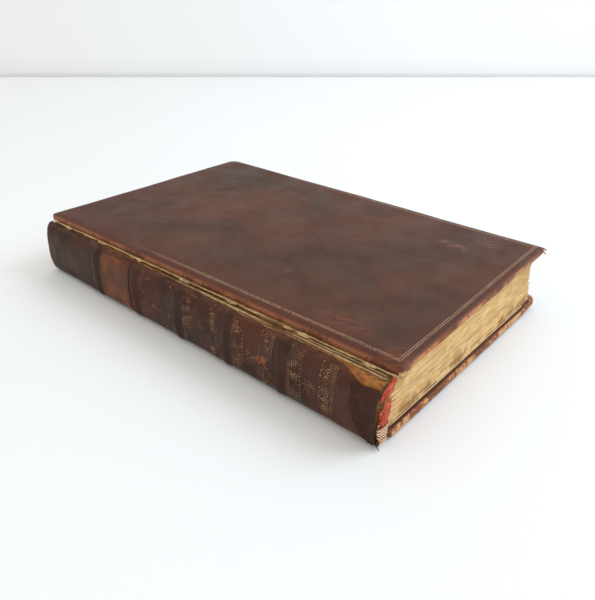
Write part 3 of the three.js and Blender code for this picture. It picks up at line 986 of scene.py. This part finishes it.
joint_y = np.linspace(1.5, HEIGHT - 1.0, 520)
loose = np.clip(rough(joint_y / 8, seed=111), 0, 1)
front_edge_sheet(
    "front_joint_torn_edge",
    joint_y,
    0.1 + 0.45 * loose + 0.15 * np.abs(rough(joint_y / 1.2, seed=112)),
    3.15 + 0.2 * rough(joint_y / 3, seed=113),
    3.6 + 0.2 * rough(joint_y / 4, seed=114) + 0.15 * rough(joint_y / 0.9, seed=115),
    0.15,
    FLESH,
)
chip_y = [12.5, 41, 47, 76, 103, 131, 159, 186]
for number, middle in enumerate(chip_y, start=1):
    y = np.linspace(middle - 2.0 - number % 3, middle + 2.4, 24)
    bulge = np.sin(np.linspace(0, np.pi, len(y)))
    front_edge_sheet(
        f"front_joint_chip_{number}",
        y,
        0.25 + 0.5 * bulge**0.5 + 0.4 * rough(y / 0.6, seed=120 + number),
        3.25 - 0.3 * bulge + 0.2 * rough(y / 0.7, seed=135 + number),
        3.65 + 0.3 * bulge + 0.2 * rough(y / 0.5, seed=145 + number),
        0.22,
        FLESH,
    )


def shoulder_strip(name, y, x_low, x_high, z, thickness, material):
    """A flat ragged strip along the shoulder of the text, between the spine and the front board."""
    t = np.linspace(0, 1, 7)[None, :]
    x = x_low[:, None] + (x_high - x_low)[:, None] * t
    along = np.broadcast_to(y[:, None], x.shape)
    level = z + 0.05 * rough(x / 2, along / 3, seed=131)
    outer = points_of(x, along, level + thickness)
    inner = points_of(x, along, level)
    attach(sheet(name, outer, inner, material, "spine_lining"), "text_upper")


# A stained lining on the text's shoulder; its dark brown is partly painted shade under the front cover's
# edge.
shoulder_y = np.linspace(-TEXT_HALF + 0.3, TEXT_HALF - 0.5, 300)
shoulder_strip(
    "shoulder_stained_lining_and_shade",
    shoulder_y,
    SPINE_X - 3.6 + 0.3 * rough(shoulder_y / 2, seed=132),
    SPINE_X + 3.4 + 0.5 * rough(shoulder_y / 3, seed=133),
    TEXT_HIGH[2] + 0.05,
    0.05,
    STAINED_LINING_AND_SHADE,
)
# Slivers of leather left on it: y from and to, x from the spine's edge, width, height up, material.
SLIVERS = [
    (-97, -52, -1.9, 0.8, 0.16, FLESH),
    (-96, -34, -0.4, 0.7, 0.30, FLESH),
    (-92, -63, -3.0, 0.7, 0.14, BROWN_FLESH),
    (-48, 6, -2.6, 0.9, 0.14, FLESH),
    (20, 66, -2.9, 0.7, 0.14, BROWN_FLESH),
]
for number, (low, high, offset, width, rise, tint) in enumerate(SLIVERS, start=1):
    y = np.linspace(low, high, 120)
    taper = np.sin(np.linspace(0.25, np.pi, len(y))) ** 0.6
    middle = SPINE_X + offset + 0.25 * rough(y / 12, seed=140 + number)
    half = 0.5 * width * taper * (1 + 0.35 * rough(y / 1.3, seed=150 + number))
    level = TEXT_HIGH[2] + rise
    shoulder_strip(f"joint_sliver_{number}", y, middle - half, middle + half, level, 0.12, tint)


# The cover's leather has gone from its tail corner at the spine, where the layers of the board show.
bare_x, bare_depth = np.meshgrid(np.linspace(-SPINE_LAP - 0.1, 2.0, 12), np.linspace(1.5, 3.7, 12))
bare_x = bare_x + 0.25 * rough(bare_depth / 0.7, seed=171) * (bare_x > 1)
bare_face = -0.22 - 0.12 * rough(bare_x / 1.2, bare_depth / 0.35, seed=172)
bare_outer = front_place(points_of(bare_x, bare_face, bare_depth))
bare_inner = front_place(points_of(bare_x, bare_face + 1.2, bare_depth))
bare_board = sheet("front_corner_bare_board", bare_outer, bare_inner, PASTEBOARD, "pasteboard")
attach(bare_board, "front_cover")

# The front cover's corner at the tail and fore-edge is frayed: root, tip, bow, half width, material.
CORNER_TATTERS = [
    ((0.2, 1.0, 1.2), (2.4, 0.9, 1.6), (0.3, 0.2, -0.3), (0.1, 0.9, 0.3), BROWN_FLESH),
    ((0.0, 0.4, 2.6), (1.3, -0.3, 4.3), (0.5, -0.2, 0.0), (0.6, 0.5, 0.0), BROWN_FLESH),
    ((-0.8, 0.2, 0.9), (0.9, -0.9, 1.1), (0.2, 0.0, -0.4), (0.5, 0.5, 0.3), FLESH),
]
for number, (root, tip, bow, half, tint) in enumerate(CORNER_TATTERS, start=1):
    ends = front_place(np.array([root, tip]) + [WIDTH - 0.6, 0, 0])
    strip = tatter(f"front_corner_tatter_{number}", *ends, bow, half, tint, "cover_calf")
    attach(strip, "front_cover")


# ---- Text block ----
SECTIONS = 18
LEAVES_PER_SECTION = 8


def section(number, body):
    """One gathering: its leaves' edges step in and out a little, and its fold is round."""
    node = f"section_{number:02d}"
    low, high = cad_box(node)
    fore = (low[2] + high[2]) / 2
    lean = 0.375 * (fore - TEXT_LOW[2]) / (TEXT_HIGH[2] - TEXT_LOW[2])
    tail = np.linspace(0, 1, 60)
    side = np.linspace(0, 1, 72)
    levels = np.repeat(np.linspace(low[2], high[2], LEAVES_PER_SECTION + 1), 2)[1:-1]
    rows = []
    for row, z in enumerate(levels):
        leaf = row // 2 + number * LEAVES_PER_SECTION
        across = 2 * (z - fore) / (high[2] - low[2])
        fold = fold_x(fore) + 1 - math.sqrt(max(0.0, 1 - across**2))
        shift = 0.28 * lattice(leaf, 1, 2, 81) + 0.5 * lattice(number, 5, 1, 82)
        fore_x = high[0] - shift - lean
        end = TEXT_HALF - 0.30 * lattice(leaf, 3, 4, 83) - 0.45 * lattice(number, 7, 2, 84)
        xs = fold + (fore_x - fold) * tail
        tail_y = -end + 0.10 * rough(xs / 9, leaf * 0.37, seed=85)
        head_y = end - 0.10 * rough(xs / 9, leaf * 0.37, seed=86)
        ys = tail_y[-1] + (head_y[-1] - tail_y[-1]) * side
        waves = np.abs(rough(ys / 11, leaf * 0.41, seed=87))
        edge_x = fore_x - 0.12 * waves * np.sin(np.pi * side) ** 0.3
        rows.append(np.concatenate([
            points_of(xs, tail_y, z),
            points_of(edge_x, ys, z)[1:-1],
            points_of(xs, head_y, z)[::-1],
            points_of(fold, np.linspace(head_y[0], tail_y[0], 22)[1:-1], z),
        ]))
    piece = place(f"gathering_{number:02d}", *capped(rows), LEAVES, sharp=25, slot="leaves")
    piece.data.materials.append(PAGE)
    for face in piece.data.polygons[-2:]:
        face.material_index = 1
    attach(piece, body)
    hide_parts(node)


for number in range(1, SECTIONS + 1):
    section(number, "text_upper" if number <= SECTIONS // 2 else "text_lower")


# ---- Silk bands ----
BAND_RADII = (1.7, 0.7)  # across the leaves' edges, and out from them
BAND_Y_OFF = 1.15  # from the ends of the leaves to the middle of a band
ENDBAND_INSET = 1.75


def endband_path(y, low, high, count):
    z = np.linspace(low, high, count)
    return points_of(fold_x(z) + ENDBAND_INSET, y, z)


def windings(path, pitch, thread_radius, swell, seed):
    """One thread wound round and round a curved core, standing off it by swell(z)."""
    length = np.concatenate([[0], np.cumsum(np.linalg.norm(np.diff(path, axis=0), axis=1))])
    walk = np.linspace(0, length[-1], int(length[-1] / pitch * 12))
    centre = points_of(*(np.interp(walk, length, path[:, k]) for k in range(3)))
    phase = 2 * np.pi * walk / pitch
    size = swell(centre[:, 2]) * (1 + 0.16 * rough(walk / 0.9, seed=seed))
    across = BAND_RADII[0] * np.cos(phase) * size
    through = BAND_RADII[1] * np.sin(phase)
    lean = 0.35 * pitch * rough(walk / 1.7, seed=seed + 1)
    return tube(centre + points_of(across, through, lean), thread_radius, 6)


def frayed(z):
    """The tail band's silk is thicker at its top and its foot, and worn to a few threads between."""
    return 0.26 + 0.45 * smoothstep(20.5, 22.5, z) + 0.62 * (1 - smoothstep(13.5, 16.0, z))


def even(z):
    return 1 + 0 * z


def tapered(z):
    """The bare foot of the tail band is a cone, narrower below."""
    return 1.0 + 0.75 * smoothstep(1.5, 9.0, z)


ENDBANDS = [("headband", 1, 5.2, even), ("tailband", -1, 10.4, frayed)]
for name, sign, silk_low, swell in ENDBANDS:
    y = sign * (TEXT_HALF + BAND_Y_OFF)
    core_path = endband_path(y, 2.2, TEXT_HIGH[2] - 0.6, 30)
    core = place(f"{name}_hemp_core", *tube(core_path, 0.5, 10), HEMP, slot="hemp_cord")
    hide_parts(f"{name}_core")
    silk_path = endband_path(y, silk_low, TEXT_HIGH[2] - 0.9, 30)
    winding = windings(silk_path, 0.85, 0.26, swell, 91)
    silk = place(f"{name}_silk_windings", *winding, RED_SILK, slot="red_silk")
    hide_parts(f"{name}_silk")
    bend_with_text(core)
    bend_with_text(silk)

bare_path = endband_path(-TEXT_HALF - BAND_Y_OFF, 2.0, 10.1, 20)
FOOT_THREADS = [("cream", 0.0, 0.36, CREAM_SILK), ("madder", 0.65, 0.4, MADDER_SILK)]
for name, shift, thickness, tint in FOOT_THREADS:
    wound_path = bare_path + np.array([0, 0, shift])
    winding = windings(wound_path, 1.3, thickness, tapered, 93)
    wound = place(f"tailband_{name}_windings", *winding, tint, slot="red_silk")
    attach(wound, "text_lower")


def stray_threads(count, z_low, z_high, reach, seed):
    """Frayed ends lying over the tail of the leaves beside the band, most of them across the band."""
    for number in range(count):
        u, v, w, r = (lattice(number, k, 3, seed) for k in range(4))
        z = z_low + (z_high - z_low) * u
        x = fold_x(z) + 0.3 + reach * v
        t = np.linspace(-0.5, 0.5, 6)
        lift = 0.25 + 0.75 * r * (1 - v)
        yield tube(points_of(
            x + (1.5 + 0.9 * w) * t,
            -TEXT_HALF - lift - 0.35 * np.cos(np.pi * t),
            z + (2.6 * r + 0.4) * t + 0.6 * w * t**2,
        ), 0.16 + 0.07 * w, 5)


STRAYS = [
    ("upper", "text_upper", 110, 20.4, 24.8, 6.5, 161),
    ("lower", "text_lower", 130, 10.6, 16.4, 6.0, 162),
]
for name, body, *spread in STRAYS:
    threads = joined(list(stray_threads(*spread)))
    piece = place(f"tailband_stray_threads_{name}", *threads, RED_SILK, slot="red_silk")
    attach(piece, body)


# ---- Materials of the CAD nodes that stay ----
KEPT = {
    "board": PASTEBOARD,
    "pastedown": PASTEDOWN,
    "free_endpaper": ENDPAPER,
    **{f"cord_slip_{n}": HEMP for n in range(1, 6)},
}
for side in ("front", "back"):
    for part, material in KEPT.items():
        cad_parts[f"{side}_{part}"].material_slots[0].material = material
for node in ("front_flyleaf", "centre_leaf_1", "centre_leaf_2"):
    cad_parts[node].material_slots[0].material = ENDPAPER


# ---- Table, light and camera ----
CAMERA = {
    "position": (-207.75, -176.3, 143.3),
    "forward": (0.6728, 0.5560, -0.4880),
    "up": (0.3576, 0.3331, 0.8725),
    "focal": 614.1 / 600 * 36,
}


def add_camera():
    data = bpy.data.cameras.new("camera")
    data.sensor_width = 36
    data.lens = CAMERA["focal"]
    data.clip_start = 0.01
    camera = bpy.data.objects.new("camera", data)
    bpy.context.collection.objects.link(camera)
    back = -Vector(CAMERA["forward"]).normalized()
    right = Vector(CAMERA["up"]).cross(back).normalized()
    up = back.cross(right)
    turn = Matrix((right, up, back)).transposed().to_4x4()
    camera.matrix_world = Matrix.Translation(Vector(CAMERA["position"]) * MM) @ turn
    bpy.context.scene.camera = camera


def add_plane(name, centre, rotation, material, half=3.0):
    mesh = bpy.data.meshes.new(name)
    corners = [(-half, -half, 0), (half, -half, 0), (half, half, 0), (-half, half, 0)]
    mesh.from_pydata(corners, [], [(0, 1, 2, 3)])
    mesh.materials.append(material)
    plane = bpy.data.objects.new(name, mesh)
    plane.location = centre
    plane.rotation_euler = rotation
    bpy.context.collection.objects.link(plane)


def add_area_light(name, position, size, power, tint):
    data = bpy.data.lights.new(name, "AREA")
    data.shape = "DISK"
    data.size = size
    data.energy = power
    data.color = tint
    light = bpy.data.objects.new(name, data)
    light.location = position
    light.rotation_euler = (-Vector(position)).to_track_quat("-Z", "Y").to_euler()
    bpy.context.collection.objects.link(light)


WALL = (Vector((0.174, 0.641, 0)), Vector((0.799, 0.101, 0)))  # two points where it meets the table
wall_run = WALL[1] - WALL[0]
wall_turn = (math.pi / 2, 0, math.atan2(wall_run.y, wall_run.x))
# The wall carries painted shade along its foot, where it meets the table.
wall_surface = room_surface("wall_surface", (238, 239, 240), 0.3)
add_camera()
add_plane("table", (0, 0, -0.0002), (0, 0, 0), room_surface("table_surface", (240, 241, 242)))
add_plane("wall", (WALL[0] + WALL[1]) / 2, wall_turn, wall_surface)
add_area_light("window", (0.55, -0.55, 0.75), 0.7, 5.3, (0.68, 0.82, 1.0))
add_area_light("room", (-0.6, -0.7, 0.9), 1.2, 1.5, (0.8, 0.9, 1.0))

world = bpy.data.worlds.new("room")
bpy.context.scene.world = world
world.use_nodes = True
sky = world.node_tree.nodes["Background"].inputs
sky["Color"].default_value = (1.0, 0.962, 0.89, 1.0)
sky["Strength"].default_value = 0.93
bpy.context.scene.view_settings.view_transform = "Standard"
